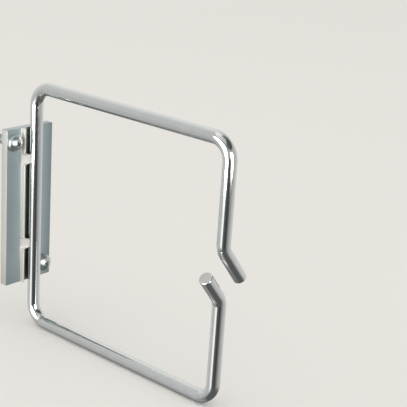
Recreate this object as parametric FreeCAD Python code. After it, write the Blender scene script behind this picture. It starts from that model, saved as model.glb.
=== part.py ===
import FreeCAD, Part
import math
import os
from FreeCAD import Vector

# Square cable ring on a ribbed mounting plate, held by two pan-head screws.
#
# Millimetres.  +Z is up, +Y points into the panel, +X to the right when the panel is
# faced.  The origin is the middle of the plate's back, the face that lies on the panel,
# so the whole ring stands out towards -Y.

# ---------------------------------------------------------------- driving dimensions

# Ring: one bent round steel wire, measured along its centre line
WIRE_DIAMETER = 4.2
RING_HEIGHT = 80.0
RING_DEPTH = 80.0
CORNER_RADIUS = 6.0
END_ROUNDING = 0.35

# Tips: the wire's two ends, turned aside in opposite directions to leave the cable gap
TIP_ANGLE = 39.0
TIP_BEND_RADIUS = 5.0
UPPER_TIP_LENGTH = 14.0
LOWER_TIP_LENGTH = 11.2
UPPER_CORNER_HEIGHT = 8.1
LOWER_CORNER_HEIGHT = -7.3

# Plate: flat bar with two thin upright ribs that make the channel for the rear leg
PLATE_HEIGHT = 53.0
PLATE_THICKNESS = 2.75
RIB_HEIGHT = 1.6
RIB_THICKNESS = 0.6
PLATE_EDGE_RADIUS = 0.3
RIB_EDGE_RADIUS = 0.2
LARGEST_EDGE_SHARE = 0.45

# Crimps: two short lengths of the left rib, pressed over against the wire
CRIMP_LENGTH = 2.6
CRIMP_RAMP = 0.8
CRIMP_SPACING = 29.0
CRIMP_MIDDLE_HEIGHT = 1.9

# Screws: M3 pan head, one high on the left flange and one low on the right flange
SCREW_DIAMETER = 3.0
SCREW_LENGTH = 8.0
SCREW_POINT = 0.5
HEAD_DIAMETER = 5.6
HEAD_HEIGHT = 2.4
HEAD_RIM = 0.9
RECESS_SPAN = 2.9
RECESS_FOOT = 1.1
RECESS_DEPTH = 1.3
RECESS_SLOT = 0.6
SCREW_END_DISTANCE = 4.5

# Clearances: the crimp gap is the free width beside the wire that the crimps lean across,
# and the head margin is the flange left on each side of a screw head
WIRE_SEAT_GAP = 0.02
CRIMP_GAP = 1.6
SCREW_HOLE_GAP = 0.2
HEAD_MARGIN = 0.2

# How near a found edge lies to its place
PLACE_TOLERANCE = 0.01

# ---------------------------------------------------------------- places worked out

WIRE_RADIUS = WIRE_DIAMETER / 2
PLATE_FRONT = -PLATE_THICKNESS
RIB_FRONT = PLATE_FRONT - RIB_HEIGHT
RIB_INNER = (WIRE_DIAMETER + CRIMP_GAP) / 2
RIB_OUTER = RIB_INNER + RIB_THICKNESS
FLANGE_WIDTH = HEAD_DIAMETER + 2 * HEAD_MARGIN
PLATE_WIDTH = 2 * (RIB_OUTER + FLANGE_WIDTH)

# The rear leg lies on the channel's floor and against its right-hand rib.
WIRE_X = RIB_INNER - WIRE_SEAT_GAP - WIRE_RADIUS
REAR_Y = PLATE_FRONT - WIRE_SEAT_GAP - WIRE_RADIUS
FRONT_Y = REAR_Y - RING_DEPTH
TOP_Z = RING_HEIGHT / 2
BOTTOM_Z = -RING_HEIGHT / 2

CRIMP_HEIGHTS = [CRIMP_MIDDLE_HEIGHT + side * CRIMP_SPACING / 2 for side in (-1, 1)]

# Each screw is in the middle of its flange's width, the same distance from the plate's end.
SCREW_X = RIB_OUTER + FLANGE_WIDTH / 2
SCREW_Z = PLATE_HEIGHT / 2 - SCREW_END_DISTANCE
SCREW_PLACES = {
    "upper_screw": Vector(-SCREW_X, PLATE_FRONT, SCREW_Z),
    "lower_screw": Vector(SCREW_X, PLATE_FRONT, -SCREW_Z),
}


# ---------------------------------------------------------------- ring

def tip_end(corner, length, side):
    """End of a tip that leaves its corner aside and towards the other tip."""
    turn = math.radians(TIP_ANGLE)
    return corner + Vector(side * length * math.sin(turn), 0, -side * length * math.cos(turn))


def rounded_path(corners, radii):
    """Straight runs through the corners, joined by tangent arcs."""
    edges = []
    start = corners[0]
    for before, corner, after, radius in zip(corners, corners[1:], corners[2:], radii):
        back = (before - corner).normalize()
        ahead = (after - corner).normalize()
        half_angle = back.getAngle(ahead) / 2
        reach = radius / math.tan(half_angle)
        middle = (back + ahead).normalize()
        to_arc = radius / math.sin(half_angle) - radius
        arc_start = corner + back * reach
        arc_end = corner + ahead * reach
        edges.append(Part.LineSegment(start, arc_start).toShape())
        edges.append(Part.Arc(arc_start, corner + middle * to_arc, arc_end).toShape())
        start = arc_end
    edges.append(Part.LineSegment(start, corners[-1]).toShape())
    return Part.Wire(edges)


def ring_corners():
    """Centre-line corners, from the upper tip round the ring to the lower tip."""
    upper = Vector(WIRE_X, FRONT_Y, UPPER_CORNER_HEIGHT)
    lower = Vector(WIRE_X, FRONT_Y, LOWER_CORNER_HEIGHT)
    return [
        tip_end(upper, UPPER_TIP_LENGTH, 1),
        upper,
        Vector(WIRE_X, FRONT_Y, TOP_Z),
        Vector(WIRE_X, REAR_Y, TOP_Z),
        Vector(WIRE_X, REAR_Y, BOTTOM_Z),
        Vector(WIRE_X, FRONT_Y, BOTTOM_Z),
        lower,
        tip_end(lower, LOWER_TIP_LENGTH, -1),
    ]


def make_wire_ring():
    corners = ring_corners()
    bends = [TIP_BEND_RADIUS] + [CORNER_RADIUS] * 4 + [TIP_BEND_RADIUS]
    path = rounded_path(corners, bends)
    section = Part.Circle(corners[0], corners[1] - corners[0], WIRE_RADIUS).toShape()
    ring = path.makePipeShell([Part.Wire(section)], True, False)
    ends = [edge for edge in ring.Edges if is_end_rim(edge, corners)]
    rounding = min(END_ROUNDING, LARGEST_EDGE_SHARE * WIRE_RADIUS)
    print("ring centre line", round(path.Length, 2), "volume", round(ring.Volume, 1),
          "section times length", round(math.pi * WIRE_RADIUS ** 2 * path.Length, 1))
    return ring.makeFillet(rounding, ends)


def is_end_rim(edge, corners):
    """Whether an edge is the round rim of one of the wire's two cut ends."""
    middle = edge.CenterOfMass
    near_end = min((middle - corners[0]).Length, (middle - corners[-1]).Length)
    return edge.Closed and near_end < PLACE_TOLERANCE


# ---------------------------------------------------------------- plate

def runs_full_height_at(edge, x, y):
    """Whether an edge runs the plate's full height at the given place in its section."""
    middle = edge.CenterOfMass
    at_x = abs(abs(middle.x) - x) < PLACE_TOLERANCE
    at_y = abs(middle.y - y) < PLACE_TOLERANCE
    return at_x and at_y and abs(edge.BoundBox.ZLength - PLATE_HEIGHT) < PLACE_TOLERANCE


def make_bar():
    """Plate and both ribs as one constant section, with the front edges eased."""
    half_width = PLATE_WIDTH / 2
    half_section = [
        (half_width, 0),
        (half_width, PLATE_FRONT),
        (RIB_OUTER, PLATE_FRONT),
        (RIB_OUTER, RIB_FRONT),
        (RIB_INNER, RIB_FRONT),
        (RIB_INNER, PLATE_FRONT),
    ]
    section = half_section + [(-x, y) for x, y in reversed(half_section)]
    outline = [Vector(x, y, -PLATE_HEIGHT / 2) for x, y in section + section[:1]]
    bar = Part.Face(Part.makePolygon(outline)).extrude(Vector(0, 0, PLATE_HEIGHT))
    rib_edges = [e for e in bar.Edges
                 if runs_full_height_at(e, RIB_OUTER, RIB_FRONT)
                 or runs_full_height_at(e, RIB_INNER, RIB_FRONT)]
    bar = bar.makeFillet(min(RIB_EDGE_RADIUS, LARGEST_EDGE_SHARE * RIB_THICKNESS), rib_edges)
    flange_edges = [e for e in bar.Edges if runs_full_height_at(e, half_width, PLATE_FRONT)]
    return bar.makeFillet(PLATE_EDGE_RADIUS, flange_edges)


def rib_section(z, lean):
    """Left rib's section at one height, its front edge carried over by the lean."""
    foot_outer = Vector(-RIB_OUTER, PLATE_FRONT, z)
    foot_inner = Vector(-RIB_INNER, PLATE_FRONT, z)
    outline = [foot_outer, foot_outer + lean, foot_inner + lean, foot_inner, foot_outer]
    return Part.makePolygon(outline)


def make_crimp(middle):
    """Length of the left rib that leans over, in and out by a ramp, onto the wire's side."""
    upright = Vector(0, -RIB_HEIGHT, 0)
    pressed = Vector(WIRE_X - WIRE_RADIUS + RIB_OUTER, REAR_Y - PLATE_FRONT, 0)
    pressed.multiply(1 + RIB_THICKNESS / pressed.Length)
    half_flat = CRIMP_LENGTH / 2
    half_all = half_flat + CRIMP_RAMP
    sections = [
        rib_section(middle - half_all, upright),
        rib_section(middle - half_flat, pressed),
        rib_section(middle + half_flat, pressed),
        rib_section(middle + half_all, upright),
    ]
    leaning_rib = Part.makeLoft(sections, True, True)
    wire_foot = Vector(WIRE_X, REAR_Y, BOTTOM_Z)
    wire_room = Part.makeCylinder(WIRE_RADIUS + WIRE_SEAT_GAP, RING_HEIGHT, wire_foot)
    return leaning_rib.cut(wire_room)


def make_mounting_plate():
    plate = make_bar()
    crimp_reach = CRIMP_LENGTH + 2 * CRIMP_RAMP
    for middle in CRIMP_HEIGHTS:
        corner = Vector(-RIB_OUTER, RIB_FRONT, middle - crimp_reach / 2)
        straight_stretch = Part.makeBox(RIB_THICKNESS, RIB_HEIGHT, crimp_reach, corner)
        plate = plate.cut(straight_stretch).fuse(make_crimp(middle))
    plate = plate.removeSplitter()
    hole_radius = SCREW_DIAMETER / 2 + SCREW_HOLE_GAP
    for place in SCREW_PLACES.values():
        plate = plate.cut(Part.makeCylinder(hole_radius, PLATE_THICKNESS, place, Vector(0, 1, 0)))
    return plate


# ---------------------------------------------------------------- screws

def make_recess():
    """Cross recess, sunk from the crown: two tapered slots at right angles."""
    top = HEAD_HEIGHT
    foot = HEAD_HEIGHT - RECESS_DEPTH
    slots = []
    for turn in (0, 90):
        outline = [
            Vector(-RECESS_SPAN / 2, -RECESS_SLOT / 2, top),
            Vector(RECESS_SPAN / 2, -RECESS_SLOT / 2, top),
            Vector(RECESS_FOOT / 2, -RECESS_SLOT / 2, foot),
            Vector(-RECESS_FOOT / 2, -RECESS_SLOT / 2, foot),
        ]
        slot = Part.Face(Part.makePolygon(outline + outline[:1])).extrude(Vector(0, RECESS_SLOT, 0))
        slot.rotate(Vector(0, 0, 0), Vector(0, 0, 1), turn)
        slots.append(slot)
    return slots[0].fuse(slots[1])


def make_screw(seat):
    """Pan-head screw standing on its seat, turned so that its shank runs into the panel.

    The shank is divided where it leaves the plate, so its free end has a wall of its own.
    """
    head_radius = HEAD_DIAMETER / 2
    shank_radius = SCREW_DIAMETER / 2
    rise = HEAD_HEIGHT - HEAD_RIM
    crown_radius = (head_radius ** 2 + rise ** 2) / (2 * rise)
    half_sweep = math.asin(head_radius / crown_radius) / 2
    crown_middle = Vector(crown_radius * math.sin(half_sweep), 0,
                          HEAD_HEIGHT - crown_radius * (1 - math.cos(half_sweep)))
    top = Vector(0, 0, HEAD_HEIGHT)
    rim = Vector(head_radius, 0, HEAD_RIM)
    outline = [
        top,
        Vector(0, 0, -SCREW_LENGTH),
        Vector(shank_radius - SCREW_POINT, 0, -SCREW_LENGTH),
        Vector(shank_radius, 0, SCREW_POINT - SCREW_LENGTH),
        Vector(shank_radius, 0, -PLATE_THICKNESS),
        Vector(shank_radius, 0, 0),
        Vector(head_radius, 0, 0),
        rim,
    ]
    edges = [Part.LineSegment(a, b).toShape() for a, b in zip(outline, outline[1:])]
    edges.append(Part.Arc(rim, crown_middle, top).toShape())
    turned = Part.Face(Part.Wire(edges)).revolve(Vector(0, 0, 0), Vector(0, 0, 1), 360)
    screw = turned.cut(make_recess())
    screw.rotate(Vector(0, 0, 0), Vector(1, 0, 0), 90)
    screw.translate(seat)
    return screw


# ---------------------------------------------------------------- nodes

os.makedirs("parts", exist_ok=True)

nodes = {"wire_ring": make_wire_ring(), "mounting_plate": make_mounting_plate()}
for name, place in SCREW_PLACES.items():
    nodes[name] = make_screw(place)

for name, shape in nodes.items():
    shape.exportStep(os.path.join("parts", name + ".step"))
    box = shape.BoundBox
    print(name, "solids", len(shape.Solids), "valid", shape.isValid(), "volume", round(shape.Volume, 1),
          "X", round(box.XMin, 2), round(box.XMax, 2), "Y", round(box.YMin, 2), round(box.YMax, 2),
          "Z", round(box.ZMin, 2), round(box.ZMax, 2))
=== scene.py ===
import math

import bmesh
import bpy
from mathutils import Matrix, Quaternion, Vector
from mathutils.kdtree import KDTree


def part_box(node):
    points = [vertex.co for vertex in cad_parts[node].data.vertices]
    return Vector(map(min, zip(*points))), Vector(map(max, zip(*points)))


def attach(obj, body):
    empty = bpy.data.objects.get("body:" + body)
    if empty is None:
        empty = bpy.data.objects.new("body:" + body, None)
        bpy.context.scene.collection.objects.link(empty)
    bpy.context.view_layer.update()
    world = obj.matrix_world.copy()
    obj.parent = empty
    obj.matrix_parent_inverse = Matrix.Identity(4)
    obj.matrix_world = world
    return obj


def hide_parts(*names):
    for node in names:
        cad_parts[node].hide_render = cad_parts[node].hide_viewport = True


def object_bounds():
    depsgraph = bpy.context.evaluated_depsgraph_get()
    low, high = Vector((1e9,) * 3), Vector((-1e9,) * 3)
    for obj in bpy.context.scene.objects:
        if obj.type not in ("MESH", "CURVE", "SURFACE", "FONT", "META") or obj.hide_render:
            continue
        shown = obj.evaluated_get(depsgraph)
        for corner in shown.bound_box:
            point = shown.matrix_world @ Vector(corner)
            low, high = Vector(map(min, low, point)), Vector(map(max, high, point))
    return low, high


# Square cable ring on a ribbed mounting plate.  Metres, in the part's own frame: +Z is
# up, +Y points into the panel, and the origin is the middle of the plate's back.

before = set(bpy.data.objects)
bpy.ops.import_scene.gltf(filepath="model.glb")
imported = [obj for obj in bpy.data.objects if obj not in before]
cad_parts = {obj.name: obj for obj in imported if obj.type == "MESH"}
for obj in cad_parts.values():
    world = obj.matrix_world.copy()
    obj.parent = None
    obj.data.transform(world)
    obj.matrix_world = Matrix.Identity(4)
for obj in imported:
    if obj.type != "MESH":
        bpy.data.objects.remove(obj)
cad_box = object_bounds()

MM = 0.001

# ---------------------------------------------------------------- sizes

# Ring
WIRE_RADIUS = 2.1 * MM
CORNER_RADIUS = 6.0 * MM
TIP_BEND_RADIUS = 5.0 * MM
TIP_ANGLE = math.radians(39.0)
UPPER_TIP_LENGTH = 14.0 * MM
LOWER_TIP_LENGTH = 11.2 * MM
UPPER_CORNER_HEIGHT = 8.1 * MM
LOWER_CORNER_HEIGHT = -7.3 * MM
END_ROUNDING = 0.35 * MM
END_ROUNDING_STEPS = 5
BEND_FLATTENING = 0.035
WIRE_SIDES = 64
STEPS_PER_QUARTER = 20
LEAST_BEND_STEPS = 6
TRACE_SPACING = 0.25 * MM

# Plate
PLATE_THICKNESS = 2.75 * MM
CRIMP_GAP = 1.6 * MM
RIB_HEIGHT = 1.6 * MM
RIB_THICKNESS = 0.6 * MM
RIB_ROWS = 8
EDGE_ROUNDING = 0.22 * MM
EDGE_ROUNDING_STEPS = 4
CRIMP_LENGTH = 2.6 * MM
CRIMP_RAMP = 0.8 * MM
CRIMP_SPACING = 29.0 * MM
CRIMP_MIDDLE_HEIGHT = 1.9 * MM
CRIMP_SLICE = 0.2 * MM
CRIMP_MARGIN = 1.2 * EDGE_ROUNDING
SEAT_GAP = 0.02 * MM
HOLE_RADIUS = 1.7 * MM
HOLE_SIDES = 64

# Screws
SCREW_RADIUS = 1.5 * MM
SCREW_LENGTH = 8.0 * MM
SCREW_POINT = 0.5 * MM
POINT_ROWS = 5
SHANK_SIDES = 48
HEAD_RADIUS = 2.8 * MM
HEAD_HEIGHT = 2.4 * MM
HEAD_RIM = 0.9 * MM
HEAD_EASE = 0.1 * MM
HEAD_SIDES = 96
CROWN_ROWS = 18
CROWN_FLAT_RADIUS = 0.05 * MM
SCREW_X = 6.5 * MM
SCREW_Z = 22.0 * MM
THREAD_PITCH = 0.5 * MM
THREAD_DEPTH = 0.28 * MM
THREAD_ROWS = 12
# How far the thread's crest is flattened: 1 leaves it sharp.
THREAD_CREST = 1.25
RECESS_SPAN = 2.9 * MM
RECESS_FOOT = 1.1 * MM
RECESS_DEPTH = 1.3 * MM
RECESS_SLOT = 0.6 * MM
RECESS_TAPER = 0.7
RECESS_CORNER = 0.12 * MM
RECESS_CLEARANCE = 0.5 * MM
RECESS_TURNS = {"upper_screw": math.radians(24), "lower_screw": math.radians(63)}

# An edge between faces that meet at more than this is sharp.
SHARP_EDGE = math.radians(60)
# Points closer than this are one point.
SAME_POINT = 0.0005 * MM

# ---------------------------------------------------------------- places worked out

ring_low, ring_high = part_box("wire_ring")
plate_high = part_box("mounting_plate")[1]

PLATE_FRONT = -PLATE_THICKNESS
PLATE_HALF_HEIGHT = plate_high.z
PLATE_HALF_WIDTH = plate_high.x
RIB_INNER = WIRE_RADIUS + CRIMP_GAP / 2
RIB_OUTER = RIB_INNER + RIB_THICKNESS
WIRE_X = RIB_INNER - SEAT_GAP - WIRE_RADIUS
REAR_Y = PLATE_FRONT - SEAT_GAP - WIRE_RADIUS
FRONT_Y = ring_low.y + WIRE_RADIUS
TOP_Z = ring_high.z - WIRE_RADIUS
BOTTOM_Z = ring_low.z + WIRE_RADIUS
CRIMP_HEIGHTS = [CRIMP_MIDDLE_HEIGHT + side * CRIMP_SPACING / 2 for side in (-1, 1)]
SCREW_SEATS = {
    "upper_screw": Vector((-SCREW_X, PLATE_FRONT, SCREW_Z)),
    "lower_screw": Vector((SCREW_X, PLATE_FRONT, -SCREW_Z)),
}
OUT_OF_PANEL = Matrix.Rotation(math.radians(90), 4, "X")


# ---------------------------------------------------------------- modelling by hand

def start_piece(name, add, **settings):
    """Adds a primitive, alone selected, with its place in its mesh."""
    bpy.ops.object.select_all(action="DESELECT")
    add(**settings)
    piece = bpy.context.object
    piece.name = name
    bpy.ops.object.transform_apply(location=True, rotation=True, scale=True)
    return piece


def select_only(piece):
    bpy.ops.object.select_all(action="DESELECT")
    piece.select_set(True)
    bpy.context.view_layer.objects.active = piece


def pick(piece, kind, wanted):
    """In edit mode, selects just the faces or edges that the test accepts."""
    bpy.ops.mesh.select_mode(type=kind)
    bpy.ops.mesh.select_all(action="DESELECT")
    mesh = bmesh.from_edit_mesh(piece.data)
    for item in {"FACE": mesh.faces, "EDGE": mesh.edges}[kind]:
        if wanted(item):
            item.select_set(True)
    bmesh.update_edit_mesh(piece.data)


def cut_across(point, normal):
    """In edit mode, cuts the whole piece by a plane, which leaves it whole."""
    bpy.ops.mesh.select_all(action="SELECT")
    bpy.ops.mesh.bisect(plane_co=point, plane_no=normal)


def apply_modifier(piece, kind, **settings):
    select_only(piece)
    modifier = piece.modifiers.new(kind.title(), kind)
    for name, value in settings.items():
        setattr(modifier, name, value)
    bpy.ops.object.modifier_apply(modifier=modifier.name)


def combine(piece, other, operation):
    """Cuts away or adds another piece, which is used up."""
    apply_modifier(piece, "BOOLEAN", object=other, operation=operation, solver="EXACT")
    bpy.data.objects.remove(other)


def tidy_surface(piece, smooth_below):
    """Merges doubles, points every face outwards, and shades as round the edges that turn
    by less than an angle in degrees."""
    select_only(piece)
    bpy.ops.object.mode_set(mode="EDIT")
    bpy.ops.mesh.select_all(action="SELECT")
    bpy.ops.mesh.remove_doubles(threshold=SAME_POINT)
    bpy.ops.mesh.normals_make_consistent(inside=False)
    bpy.ops.object.mode_set(mode="OBJECT")
    bpy.ops.object.shade_smooth_by_angle(angle=math.radians(smooth_below))


# ---------------------------------------------------------------- ring

def tip_end(corner, length, side):
    aside = Vector((side * math.sin(TIP_ANGLE), 0, -side * math.cos(TIP_ANGLE)))
    return corner + aside * length


def ring_stretches():
    """Straight runs and bends of the wire's centre line, from the upper tip to the lower."""
    upper = Vector((WIRE_X, FRONT_Y, UPPER_CORNER_HEIGHT))
    lower = Vector((WIRE_X, FRONT_Y, LOWER_CORNER_HEIGHT))
    corners = [
        tip_end(upper, UPPER_TIP_LENGTH, 1),
        upper,
        Vector((WIRE_X, FRONT_Y, TOP_Z)),
        Vector((WIRE_X, REAR_Y, TOP_Z)),
        Vector((WIRE_X, REAR_Y, BOTTOM_Z)),
        Vector((WIRE_X, FRONT_Y, BOTTOM_Z)),
        lower,
        tip_end(lower, LOWER_TIP_LENGTH, -1),
    ]
    radii = [TIP_BEND_RADIUS] + [CORNER_RADIUS] * 4 + [TIP_BEND_RADIUS]
    stretches = []
    start = corners[0]
    for before, corner, after, radius in zip(corners, corners[1:], corners[2:], radii):
        into = (corner - before).normalized()
        out = (after - corner).normalized()
        turn = into.angle(out)
        reach = radius * math.tan(turn / 2)
        bend_start = corner - into * reach
        inward = (out - into).normalized()
        centre = corner + inward * (radius / math.cos(turn / 2))
        stretches.append({"start": start, "run": bend_start - start})
        stretches.append({"start": bend_start, "centre": centre, "turn": turn,
                          "axis": into.cross(out).normalized()})
        start = corner + out * reach
    stretches.append({"start": start, "run": corners[-1] - start})
    return stretches


def trace_wire(stretches):
    """Closely spaced points along the centre line, each with its frame and its place."""
    points = []
    along = 0.0
    across = Vector((0, 1, 0))
    for stretch in stretches:
        bent = "turn" in stretch
        if bent:
            arm = stretch["start"] - stretch["centre"]
            length = arm.length * stretch["turn"]
        else:
            length = stretch["run"].length
            tangent = stretch["run"].normalized()
        steps = max(2, round(length / TRACE_SPACING))
        first_across = across.copy()
        for step in range(steps + 1):
            share = step / steps
            if bent:
                turned = Quaternion(stretch["axis"], stretch["turn"] * share)
                place = stretch["centre"] + turned @ arm
                across = turned @ first_across
                tangent = stretch["axis"].cross(turned @ arm).normalized()
                outward = (turned @ arm).normalized()
                bending = math.sin(math.pi * share)
            else:
                place = stretch["start"] + stretch["run"] * share
                outward = across
                bending = 0.0
            points.append({"place": place, "tangent": tangent, "across": across.copy(),
                           "outward": outward, "bending": bending,
                           "along": along + length * share})
        along += length
    return points


def draw_wire(name, stretches):
    """One round section drawn along the path: extruded on the runs, spun round the bends."""
    first = stretches[0]
    facing = first["run"].to_track_quat("Z", "X").to_euler()
    wire = start_piece(name, bpy.ops.mesh.primitive_circle_add, vertices=WIRE_SIDES,
                       radius=WIRE_RADIUS, location=first["start"], rotation=facing)
    bpy.ops.object.mode_set(mode="EDIT")
    bpy.ops.mesh.select_mode(type="EDGE")
    bpy.ops.mesh.select_all(action="SELECT")
    for stretch in stretches:
        if "turn" in stretch:
            quarters = stretch["turn"] / math.radians(90)
            steps = max(LEAST_BEND_STEPS, round(STEPS_PER_QUARTER * quarters))
            bpy.ops.mesh.spin(steps=steps, angle=-stretch["turn"], center=stretch["centre"],
                              axis=stretch["axis"])
        else:
            bpy.ops.mesh.extrude_region_move(
                TRANSFORM_OT_translate={"value": stretch["run"]})
    bpy.ops.mesh.edge_face_add()
    bpy.ops.mesh.select_all(action="DESELECT")
    bpy.ops.mesh.select_non_manifold()
    bpy.ops.mesh.edge_face_add()
    bpy.ops.mesh.select_all(action="SELECT")
    bpy.ops.mesh.normals_make_consistent(inside=False)
    pick(wire, "EDGE", lambda edge: edge.calc_face_angle(0) > SHARP_EDGE)
    bpy.ops.mesh.bevel(offset=END_ROUNDING, segments=END_ROUNDING_STEPS, affect="EDGES")
    bpy.ops.object.mode_set(mode="OBJECT")
    return wire


def mark_unbent_place(wire, points):
    """Stores where each point of the surface was on the straight wire, which the drawing
    lines follow, and flattens the outside of each bend a little."""
    tree = KDTree(len(points))
    for index, point in enumerate(points):
        tree.insert(point["place"], index)
    tree.balance()
    unbent = wire.data.attributes.new("unbent", "FLOAT_VECTOR", "POINT")
    for vertex in wire.data.vertices:
        point = points[tree.find(vertex.co)[1]]
        offset = vertex.co - point["place"]
        other = point["tangent"].cross(point["across"])
        unbent.data[vertex.index].vector = (
            offset.dot(point["across"]), offset.dot(other),
            point["along"] + offset.dot(point["tangent"]))
        outside = max(0.0, offset.dot(point["outward"])) * point["bending"]
        vertex.co -= point["outward"] * outside * BEND_FLATTENING


def make_wire():
    stretches = ring_stretches()
    points = trace_wire(stretches)
    wire = draw_wire("bent_wire", stretches)
    mark_unbent_place(wire, points)
    tidy_surface(wire, smooth_below=40)
    return wire, points[-1]["along"]


# ---------------------------------------------------------------- plate

def crimp_lean(z):
    """How far the left rib is pressed over at a height, from 0, upright, to 1."""
    lean = 0.0
    for middle in CRIMP_HEIGHTS:
        past = abs(z - middle) - CRIMP_LENGTH / 2
        share = min(1.0, max(0.0, 1 - past / CRIMP_RAMP))
        lean = max(lean, share * share * (3 - 2 * share))
    return lean


def reach_of_tongue(foot, lean_way):
    """How far a line from the rib's foot goes before it meets the wire's side."""
    from_wire = foot - Vector((WIRE_X, REAR_Y, 0))
    towards = -from_wire.dot(lean_way)
    room = WIRE_RADIUS + SEAT_GAP
    return towards - math.sqrt(towards ** 2 - from_wire.length_squared + room ** 2)


def press_crimps(plate):
    """Leans two lengths of the left rib over until they lie against the wire's side."""
    rib_middle = -(RIB_INNER + RIB_OUTER) / 2
    to_wire = Vector((WIRE_X - WIRE_RADIUS + RIB_OUTER, REAR_Y - PLATE_FRONT, 0))
    lean_way = to_wire.normalized()
    for vertex in plate.data.vertices:
        lean = crimp_lean(vertex.co.z)
        near_rib = abs(vertex.co.x - rib_middle) < RIB_THICKNESS / 2 + CRIMP_MARGIN
        if lean == 0 or not near_rib or vertex.co.y > PLATE_FRONT:
            continue
        up_share = (PLATE_FRONT - vertex.co.y) / RIB_HEIGHT
        foot = Vector((vertex.co.x, PLATE_FRONT, 0))
        pressed = foot + lean_way * reach_of_tongue(foot, lean_way) * up_share
        pressed.z = vertex.co.z
        vertex.co = vertex.co.lerp(pressed, lean)


def make_plate():
    """Flat bar with two ribs extruded from its front, drilled, eased and crimped."""
    plate = start_piece(
        "ribbed_plate", bpy.ops.mesh.primitive_cube_add, size=1,
        location=(0, PLATE_FRONT / 2, 0),
        scale=(2 * PLATE_HALF_WIDTH, PLATE_THICKNESS, 2 * PLATE_HALF_HEIGHT))
    bpy.ops.object.mode_set(mode="EDIT")
    for x in (-RIB_OUTER, -RIB_INNER, RIB_INNER, RIB_OUTER):
        cut_across((x, 0, 0), (1, 0, 0))

    def is_rib_foot(face):
        middle = face.calc_center_median()
        return face.normal.y < -0.9 and RIB_INNER < abs(middle.x) < RIB_OUTER

    pick(plate, "FACE", is_rib_foot)
    for _ in range(RIB_ROWS):
        bpy.ops.mesh.extrude_region_move(
            TRANSFORM_OT_translate={"value": (0, -RIB_HEIGHT / RIB_ROWS, 0)})
    bpy.ops.object.mode_set(mode="OBJECT")
    for seat in SCREW_SEATS.values():
        drill = start_piece("drill", bpy.ops.mesh.primitive_cylinder_add,
                            vertices=HOLE_SIDES,
                            radius=HOLE_RADIUS, depth=3 * PLATE_THICKNESS,
                            location=(seat.x, seat.y, seat.z),
                            rotation=(math.radians(90), 0, 0))
        combine(plate, drill, "DIFFERENCE")
    apply_modifier(plate, "BEVEL", width=EDGE_ROUNDING, segments=EDGE_ROUNDING_STEPS,
                   limit_method="ANGLE", angle_limit=SHARP_EDGE, use_clamp_overlap=True)
    select_only(plate)
    bpy.ops.object.mode_set(mode="EDIT")
    half_reach = CRIMP_LENGTH / 2 + CRIMP_RAMP
    slices = round(2 * half_reach / CRIMP_SLICE)
    for middle in CRIMP_HEIGHTS:
        for number in range(slices + 1):
            z = middle - half_reach + 2 * half_reach * number / slices
            cut_across((0, 0, z), (0, 0, 1))
    bpy.ops.object.mode_set(mode="OBJECT")
    press_crimps(plate)
    tidy_surface(plate, smooth_below=35)
    return plate


# ---------------------------------------------------------------- screws

def turned(name, rows, sides):
    """A round solid, extruded row by row upwards from its first radius."""
    piece = start_piece(name, bpy.ops.mesh.primitive_circle_add, vertices=sides,
                        radius=rows[0][0], location=(0, 0, rows[0][1]), fill_type="NGON")
    bpy.ops.object.mode_set(mode="EDIT")
    bpy.ops.mesh.select_mode(type="FACE")
    bpy.ops.mesh.select_all(action="SELECT")
    for (radius, height), (next_radius, next_height) in zip(rows, rows[1:]):
        bpy.ops.mesh.extrude_region_move(
            TRANSFORM_OT_translate={"value": (0, 0, next_height - height)})
        size = next_radius / radius
        bpy.ops.transform.resize(value=(size, size, 1), center_override=(0, 0, next_height))
    bpy.ops.mesh.select_all(action="SELECT")
    bpy.ops.mesh.normals_make_consistent(inside=False)
    bpy.ops.object.mode_set(mode="OBJECT")
    return piece


def head_rows():
    """The head's outline: a short upright rim, eased at its foot, under a domed crown."""
    rise = HEAD_HEIGHT - HEAD_RIM
    dome = (HEAD_RADIUS ** 2 + rise ** 2) / (2 * rise)
    sweep = math.asin(HEAD_RADIUS / dome)
    rows = [(HEAD_RADIUS - HEAD_EASE, 0),
            (HEAD_RADIUS - 0.3 * HEAD_EASE, 0.3 * HEAD_EASE),
            (HEAD_RADIUS, HEAD_EASE),
            (HEAD_RADIUS, HEAD_RIM - HEAD_EASE)]
    for number in range(1, CROWN_ROWS):
        angle = sweep * (1 - number / CROWN_ROWS)
        rows.append((dome * math.sin(angle), HEAD_HEIGHT - dome * (1 - math.cos(angle))))
    rows.append((CROWN_FLAT_RADIUS, HEAD_HEIGHT))
    return rows


def recess_wing(turn):
    """One of the two tapered slots that cross in the head."""
    wing = start_piece(
        "wing", bpy.ops.mesh.primitive_cube_add, size=1,
        location=(0, 0, HEAD_HEIGHT + (RECESS_CLEARANCE - RECESS_DEPTH) / 2),
        scale=(RECESS_SPAN, RECESS_SLOT, RECESS_DEPTH + RECESS_CLEARANCE))
    bpy.ops.object.mode_set(mode="EDIT")
    pick(wing, "FACE", lambda face: face.normal.z < -0.9)
    bpy.ops.transform.resize(value=(RECESS_FOOT / RECESS_SPAN, RECESS_TAPER, 1))
    pick(wing, "EDGE", lambda edge: abs(edge.verts[0].co.z - edge.verts[1].co.z) > MM)
    bpy.ops.mesh.bevel(offset=RECESS_CORNER, segments=3, affect="EDGES")
    bpy.ops.object.mode_set(mode="OBJECT")
    wing.data.transform(Matrix.Rotation(turn, 4, "Z"))
    return wing


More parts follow.
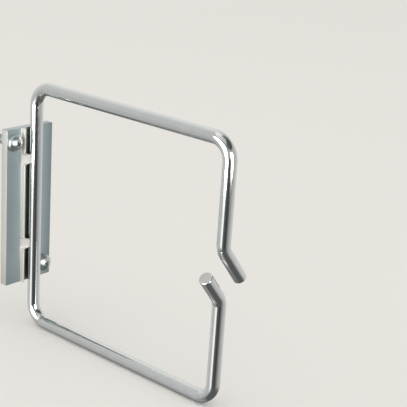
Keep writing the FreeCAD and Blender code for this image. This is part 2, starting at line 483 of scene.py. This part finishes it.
def cut_thread(shank):
    """Winds a ridge round the shank: deep flanks, a flat crest, fading at both ends."""
    for vertex in shank.data.vertices:
        radius = math.hypot(vertex.co.x, vertex.co.y)
        if radius < SCREW_RADIUS / 2:
            continue
        turn = math.atan2(vertex.co.y, vertex.co.x) / (2 * math.pi)
        phase = (vertex.co.z / THREAD_PITCH - turn) % 1
        ridge = min(1.0, abs(2 * phase - 1) * THREAD_CREST)
        fade_in = min(1.0, max(0.0, -vertex.co.z / THREAD_PITCH - 0.5))
        fade_out = min(1.0, max(0.0, (vertex.co.z + SCREW_LENGTH) / SCREW_POINT - 0.1))
        depth = THREAD_DEPTH * (1 - ridge) * fade_in * fade_out
        vertex.co.x *= 1 - depth / radius
        vertex.co.y *= 1 - depth / radius


def make_shank():
    steps = round((SCREW_LENGTH - SCREW_POINT) / THREAD_PITCH * THREAD_ROWS)
    rows = [(SCREW_RADIUS - SCREW_POINT, -SCREW_LENGTH)]
    for number in range(1, POINT_ROWS):
        share = number / POINT_ROWS
        rows.append((SCREW_RADIUS - SCREW_POINT * (1 - share),
                     SCREW_POINT * share - SCREW_LENGTH))
    bottom = SCREW_POINT - SCREW_LENGTH
    top = HEAD_RIM / 2
    rows += [(SCREW_RADIUS, bottom + (top - bottom) * step / steps)
             for step in range(steps + 1)]
    shank = turned("shank", rows, SHANK_SIDES)
    cut_thread(shank)
    return shank


def make_screw():
    """Pan-head screw on its seat at the origin, its head up."""
    head = turned("pan_head", head_rows(), HEAD_SIDES)
    combine(head, make_shank(), "UNION")
    for turn in (0, math.radians(90)):
        combine(head, recess_wing(turn), "DIFFERENCE")
    tidy_surface(head, smooth_below=32)
    return head


def place_screws():
    """The one screw and its copy, each turned in its own way and set on its seat."""
    pattern = make_screw()
    screws = []
    for node, seat in SCREW_SEATS.items():
        screw = pattern.copy()
        screw.data = pattern.data.copy()
        screw.name = node.replace("screw", "pan_head_screw")
        bpy.context.scene.collection.objects.link(screw)
        turn = Matrix.Rotation(RECESS_TURNS[node], 4, "Z")
        screw.data.transform(Matrix.Translation(seat) @ OUT_OF_PANEL @ turn)
        screws.append((screw, node))
    bpy.data.objects.remove(pattern)
    return screws


# ---------------------------------------------------------------- finishes

# A pair is the darkest and the lightest of a colour that varies.
WIRE_PLATING = ((0.76, 0.79, 0.77, 1), (0.86, 0.88, 0.86, 1))
WIRE_SPECK = (0.42, 0.44, 0.43, 1)
SHEARED_STEEL = (0.70, 0.70, 0.67, 1)
PLATE_METAL = ((0.50, 0.59, 0.61, 1), (0.65, 0.75, 0.77, 1))
# Darker tone towards the plate's long edges; on the right flange it is painted shade as
# well.
PLATE_SIDES_AND_SHADE = (0.35, 0.43, 0.45, 1)
# Painted shade in the channel behind the wire.
CHANNEL_SHADE = (0.13, 0.14, 0.11, 1)
# Painted highlight on the plate's long edges.
RIM_HIGHLIGHT = (0.62, 0.61, 0.58, 1)
# Painted highlight on the ribs.
RIB_HIGHLIGHT = (0.92, 0.89, 0.83, 1)
SAWN_METAL = (0.70, 0.71, 0.70, 1)
SCREW_PLATING = ((0.66, 0.72, 0.72, 1), (0.80, 0.84, 0.82, 1))
# Painted shade in the screws' recess and thread valleys.
SCREW_HOLLOW_SHADE = (0.22, 0.23, 0.22, 1)
# The sheared look fades between these distances from the wire's end.
SHEARED_WHOLLY = 0.02 * MM
SHEARED_NO_MORE = 0.12 * MM


class Value:
    """A shader value.  Arithmetic on it adds Math nodes."""

    def __init__(self, nodes, socket):
        self.nodes = nodes
        self.socket = socket

    def math(self, operation, *others):
        inputs = dict(enumerate((self,) + others))
        return self.nodes.node("ShaderNodeMath", {"operation": operation}, inputs)

    def __add__(self, other):
        return self.math("ADD", other)

    def __radd__(self, other):
        return self.math("ADD", other)

    def __sub__(self, other):
        return self.math("SUBTRACT", other)

    def __rsub__(self, other):
        return self.nodes.node("ShaderNodeMath", {"operation": "SUBTRACT"},
                                {0: other, 1: self})

    def __mul__(self, other):
        return self.math("MULTIPLY", other)

    def __rmul__(self, other):
        return self.math("MULTIPLY", other)

    def step(self, low, high):
        """0 below low, 1 above high, smooth between; high may be the lower one."""
        return self.nodes.node(
            "ShaderNodeMapRange", {"interpolation_type": "SMOOTHSTEP"},
            {"Value": self, "From Min": low, "From Max": high})


class Nodes:
    """The nodes of one material or of the room."""

    def __init__(self, owner):
        owner.use_nodes = True
        self.tree = owner.node_tree

    def feed(self, socket, value):
        if isinstance(value, Value):
            self.tree.links.new(value.socket, socket)
        else:
            socket.default_value = value

    def node(self, kind, settings=None, inputs=None, output=0, stops=()):
        """Any node: its settings and ramp stops first, then its inputs; gives an output."""
        node = self.tree.nodes.new(kind)
        for name, value in (settings or {}).items():
            setattr(node, name, value)
        for number, (position, level) in enumerate(stops):
            if number < 2:
                stop = node.color_ramp.elements[number]
            else:
                stop = node.color_ramp.elements.new(position)
            stop.position = position
            stop.color = (level, level, level, 1)
        for name, value in (inputs or {}).items():
            self.feed(node.inputs[name], value)
        return Value(self, node.outputs[output])

    def mix(self, share, first, second):
        """Colour that goes from the first to the second as the share goes from 0 to 1."""
        settings = {"data_type": "RGBA"}
        return self.node("ShaderNodeMix", settings, {0: share, 6: first, 7: second}, 2)

    def split(self, vector):
        return [self.node("ShaderNodeSeparateXYZ", None, {0: vector}, axis)
                for axis in range(3)]

    def stretched(self, vector, scale):
        return self.node("ShaderNodeVectorMath", {"operation": "MULTIPLY"},
                         {0: vector, 1: scale})

    def noise(self, vector, size, detail=2.0):
        """Cloudy variation from 0 to 1 with features of about the given size."""
        return self.node("ShaderNodeTexNoise", None,
                         {"Vector": vector, "Scale": 1 / size, "Detail": detail})

    def dent(self, height, depth, strength):
        return self.node("ShaderNodeBump", None,
                         {"Height": height, "Distance": depth, "Strength": strength})


class Finish(Nodes):
    """One material and its shader."""

    def __init__(self, name):
        self.material = bpy.data.materials.new(name)
        super().__init__(self.material)
        self.shader = self.tree.nodes["Principled BSDF"]

    def set(self, **values):
        for name, value in values.items():
            self.feed(self.shader.inputs[name.replace("_", " ")], value)


def place_parts(finish):
    """A point of the surface, and its X, Y and Z."""
    place = finish.node("ShaderNodeTexCoord", output="Object")
    return place, finish.split(place)


def bright_wire(length):
    """Bright plating over drawn wire, with grey sheared ends."""
    finish = Finish("bright_plated_wire")
    unbent = finish.node("ShaderNodeAttribute", {"attribute_name": "unbent"},
                         output="Vector")
    along = finish.split(unbent)[2]
    lines = finish.noise(finish.stretched(unbent, (1, 1, 0.02)), 0.22 * MM, 3)
    clouds = finish.noise(unbent, 3.5 * MM, 3)
    specks = finish.noise(unbent, 0.3 * MM, 1).step(0.69, 0.76)
    near_start = along.step(SHEARED_NO_MORE, SHEARED_WHOLLY)
    near_end = along.step(length - SHEARED_NO_MORE, length - SHEARED_WHOLLY)
    sheared = near_start + near_end
    plating = finish.mix(clouds, *WIRE_PLATING)
    dulled = finish.mix(specks * 0.4, plating, WIRE_SPECK)
    finish.set(
        Metallic=1.0,
        Base_Color=finish.mix(sheared, dulled, SHEARED_STEEL),
        Roughness=0.045 + clouds * 0.04 + lines * 0.05 + specks * 0.05 + sheared * 0.33,
        Normal=finish.dent(lines, 0.010 * MM, 0.1))
    return finish.material


def satin_plate():
    """Satin blue-grey bar with fine lines along its length, darker towards its sides and
    most on the right flange, where that is painted shade; painted shade in the channel,
    and a painted warm highlight along its ribs and outer edges."""
    finish = Finish("satin_extruded_bar")
    place, (x, y, z) = place_parts(finish)
    lines = finish.noise(finish.stretched(place, (1, 1, 0.012)), 0.16 * MM, 4)
    bands = finish.noise(finish.stretched(place, (1, 1, 0.03)), 1.3 * MM, 2)
    clouds = finish.noise(place, 6 * MM, 3)
    from_middle = x.math("ABSOLUTE")
    in_channel = from_middle.step(RIB_INNER + 0.05 * MM, RIB_INNER - 0.15 * MM)
    on_floor = y.step(PLATE_FRONT + 0.3 * MM, PLATE_FRONT + 0.05 * MM)
    on_floor *= y.step(PLATE_FRONT - 0.6 * MM, PLATE_FRONT)
    # Where painted shade darkens the channel floor, under and beside the wire.
    behind_wire = in_channel * on_floor * x.step(-2.0 * MM, -1.4 * MM)
    outer = from_middle.step(RIB_OUTER, PLATE_HALF_WIDTH)
    from_end = z.math("ABSOLUTE")
    sawn = from_end.step(PLATE_HALF_HEIGHT - 0.06 * MM, PLATE_HALF_HEIGHT - 0.02 * MM)
    saw_marks = finish.noise(finish.stretched(place, (0.06, 1, 1)), 0.12 * MM, 2)
    rib = from_middle.step(RIB_OUTER + 0.35 * MM, RIB_OUTER + 0.1 * MM)
    rib *= y.step(PLATE_FRONT + 0.05 * MM, PLATE_FRONT - 0.2 * MM)
    rim = from_middle.step(PLATE_HALF_WIDTH - 0.12 * MM, PLATE_HALF_WIDTH - 0.03 * MM)
    bare = rib.math("MAXIMUM", rim)
    inner_metal = finish.mix(clouds * 0.6 + bands * 0.4, *PLATE_METAL)
    # Darker towards the long edges, twice as much on the right flange: that extra darkening
    # is painted shade.
    right_flange_shade = 0.5 + x.step(0, RIB_OUTER) * 0.5
    metal = finish.mix(outer * right_flange_shade, inner_metal, PLATE_SIDES_AND_SHADE)
    shaded = finish.mix(behind_wire * 0.85, metal, CHANNEL_SHADE)
    # Painted warm highlight on the plate's long edges and on the ribs.
    rimmed = finish.mix(rim, shaded, RIM_HIGHLIGHT)
    with_rib_highlight = finish.mix(rib, rimmed, RIB_HIGHLIGHT)
    finish.set(
        Metallic=1.0,
        Base_Color=finish.mix(sawn * 0.5, with_rib_highlight, SAWN_METAL),
        Roughness=0.26 + lines * 0.12 + clouds * 0.06 + sawn * 0.15 + bare * 0.28,
        Normal=finish.dent(lines + sawn * saw_marks, 0.02 * MM, 0.4))
    return finish.material


def plated_screw(seat, name):
    """Zinc-plated steel, with painted shade in the recess and between the threads."""
    finish = Finish(name)
    place, (x, y, z) = place_parts(finish)
    from_x = x - seat.x
    from_z = z - seat.z
    from_axis = (from_x * from_x + from_z * from_z).math("SQRT")
    on_shank = y.step(PLATE_FRONT - 0.1 * MM, PLATE_FRONT + 0.1 * MM)
    valley = on_shank * from_axis.step(SCREW_RADIUS, SCREW_RADIUS - THREAD_DEPTH)
    crown = PLATE_FRONT - HEAD_HEIGHT
    sunk = from_axis.step(RECESS_SPAN / 2, RECESS_SPAN / 2 - 0.2 * MM)
    recess = (1 - on_shank) * sunk * y.step(crown + 0.35 * MM, crown + 0.9 * MM)
    clouds = finish.noise(place, 1.2 * MM, 3)
    rings = finish.noise(place, 0.15 * MM, 2)
    plating = finish.mix(clouds, *SCREW_PLATING)
    # Painted shade in the thread valleys and in the cross recess.
    hollow_shade = valley.math("MAXIMUM", recess)
    finish.set(
        Metallic=1.0,
        Base_Color=finish.mix(hollow_shade * 0.6, plating, SCREW_HOLLOW_SHADE),
        Roughness=0.24 + clouds * 0.1 + rings * 0.05 + hollow_shade * 0.2,
        Normal=finish.dent(rings, 0.01 * MM, 0.25))
    return finish.material


def give(piece, material, node):
    """Finishes a piece and lets it stand for its node."""
    piece.data.materials.clear()
    piece.data.materials.append(material)
    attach(piece, "root")
    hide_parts(node)


# ---------------------------------------------------------------- studio

FLOOR_SIZE = 6.0
FLOOR_COLOUR = (0.83, 0.815, 0.785, 1)
FLOOR_ROUGHNESS = 0.8
PALE_WALLS = (0.92, 0.91, 0.89, 1)
# Brightness of the room by azimuth in degrees, clockwise from +Y, at four heights.
ROOM_LEVELS = {
    "high": [(-180, 0.08), (180, 0.08), (-112, 0.20), (-62, 0.45), (-50, 0.55), (-24, 0.61),
             (9, 0.70), (40, 0.84), (75, 0.60), (110, 0.12)],
    "raised": [(-180, 0.46), (180, 0.46), (-118, 0.44), (-97, 0.80), (-78, 0.80),
               (-62, 0.54), (-24, 0.60), (40, 0.80), (110, 0.58)],
    "level": [(-180, 0.30), (180, 0.30), (-168, 0.16), (-153, 0.06), (-138, 0.06),
              (-122, 0.10), (-104, 0.18), (-97, 1.18), (-83, 1.18), (-71, 0.85), (-56, 0.50),
              (-42, 0.50), (-30, 0.60), (60, 0.72), (110, 0.64), (128, 0.57), (150, 0.49),
              (165, 0.38)],
    "low": [(-180, 0.11), (180, 0.11), (-90, 0.11), (-46, 0.36), (-28, 0.32), (7, 0.21),
            (60, 0.18), (110, 0.11)],
}
# Heights between which one band gives way to the next, as sines of the elevation.
LEVEL_TO_LOW = (-0.42, -0.75)
LEVEL_TO_RAISED = (-0.08, 0.10)
RAISED_TO_HIGH = (0.48, 0.62)
# Name, place, width, power and whether the lamp lights the floor.
SOFTBOXES = [
    ("overhead_softbox", Vector((-0.45, -0.1, 1.15)), 1.1, 1.5, True),
    ("left_softbox", Vector((-0.60, 0.02, 0.06)), 0.5, 3.3, False),
    ("front_softbox", Vector((-0.25, -1.17, 0.12)), 0.8, 7.5, False),
]
LAMP_TARGET = Vector((0, -0.04, 0))
CAMERA_PLACE = Vector((-227.05, -264.33, 117.13)) * MM
CAMERA_AZIMUTH = math.radians(50.49)
CAMERA_DIP = math.radians(18.25)
CAMERA_ROLL = math.radians(3.94)
SENSOR_WIDTH = 36.0
LENS = 96.88
NEAREST_SEEN = 0.01


def make_floor():
    floor = start_piece("floor", bpy.ops.mesh.primitive_plane_add, size=FLOOR_SIZE,
                        location=(0, 0, cad_box[0].z))
    finish = Finish("pale_floor")
    finish.set(Base_Color=FLOOR_COLOUR, Roughness=FLOOR_ROUGHNESS, Specular_IOR_Level=0.0)
    floor.data.materials.append(finish.material)
    floor.visible_glossy = False


def make_softbox(name, place, width, power, lights_floor):
    """Square soft lamp that faces the part.  One that doesn't light the floor leaves it
    plain and still lights metal."""
    light = bpy.data.lights.new(name, "AREA")
    light.shape = "RECTANGLE"
    light.size = width
    light.size_y = width
    light.energy = power
    lamp = bpy.data.objects.new(name, light)
    lamp.location = place
    lamp.rotation_euler = (LAMP_TARGET - place).to_track_quat("-Z", "Y").to_euler()
    lamp.visible_camera = False
    lamp.visible_diffuse = lights_floor
    bpy.context.scene.collection.objects.link(lamp)


def make_room():
    """Room as metal mirrors it, by compass direction: a tall soft light at the left, and a
    dark end that gives dark lines.  The camera and the floor see plain pale walls."""
    world = bpy.data.worlds.new("studio")
    bpy.context.scene.world = world
    room = Nodes(world)
    direction = room.node("ShaderNodeTexCoord", output="Generated")
    x, y, z = room.split(direction)
    compass = x.math("ARCTAN2", y) * (0.5 / math.pi) + 0.5
    bands = {}
    for band, levels in ROOM_LEVELS.items():
        stops = [(azimuth / 360 + 0.5, level) for azimuth, level in levels]
        bands[band] = room.node("ShaderNodeValToRGB", None, {"Fac": compass}, stops=stops)
    light = room.mix(z.step(*LEVEL_TO_LOW), bands["level"], bands["low"])
    light = room.mix(z.step(*LEVEL_TO_RAISED), light, bands["raised"])
    light = room.mix(z.step(*RAISED_TO_HIGH), light, bands["high"])
    seen = room.node("ShaderNodeLightPath", output="Is Camera Ray")
    lighting = room.node("ShaderNodeLightPath", output="Is Diffuse Ray")
    shown = room.mix(seen + lighting, light, PALE_WALLS)
    background = world.node_tree.nodes["Background"]
    room.feed(background.inputs["Color"], shown)


def make_camera():
    ahead = Vector((math.sin(CAMERA_AZIMUTH) * math.cos(CAMERA_DIP),
                    math.cos(CAMERA_AZIMUTH) * math.cos(CAMERA_DIP),
                    -math.sin(CAMERA_DIP)))
    lens = bpy.data.cameras.new("camera")
    lens.sensor_width = SENSOR_WIDTH
    lens.lens = LENS
    lens.clip_start = NEAREST_SEEN
    camera = bpy.data.objects.new("camera", lens)
    camera.rotation_mode = "QUATERNION"
    camera.location = CAMERA_PLACE
    camera.rotation_quaternion = (ahead.to_track_quat("-Z", "Y")
                                  @ Quaternion((0, 0, 1), CAMERA_ROLL))
    bpy.context.scene.collection.objects.link(camera)
    bpy.context.scene.camera = camera


# ---------------------------------------------------------------- the part

wire, wire_length = make_wire()
give(wire, bright_wire(wire_length), "wire_ring")
give(make_plate(), satin_plate(), "mounting_plate")
for screw, node in place_screws():
    finish = plated_screw(SCREW_SEATS[node], "plated_" + node)
    give(screw, finish, node)

make_floor()
make_room()
for softbox in SOFTBOXES:
    make_softbox(*softbox)
make_camera()
bpy.context.scene.view_settings.view_transform = "Standard"

bpy.context.view_layer.update()
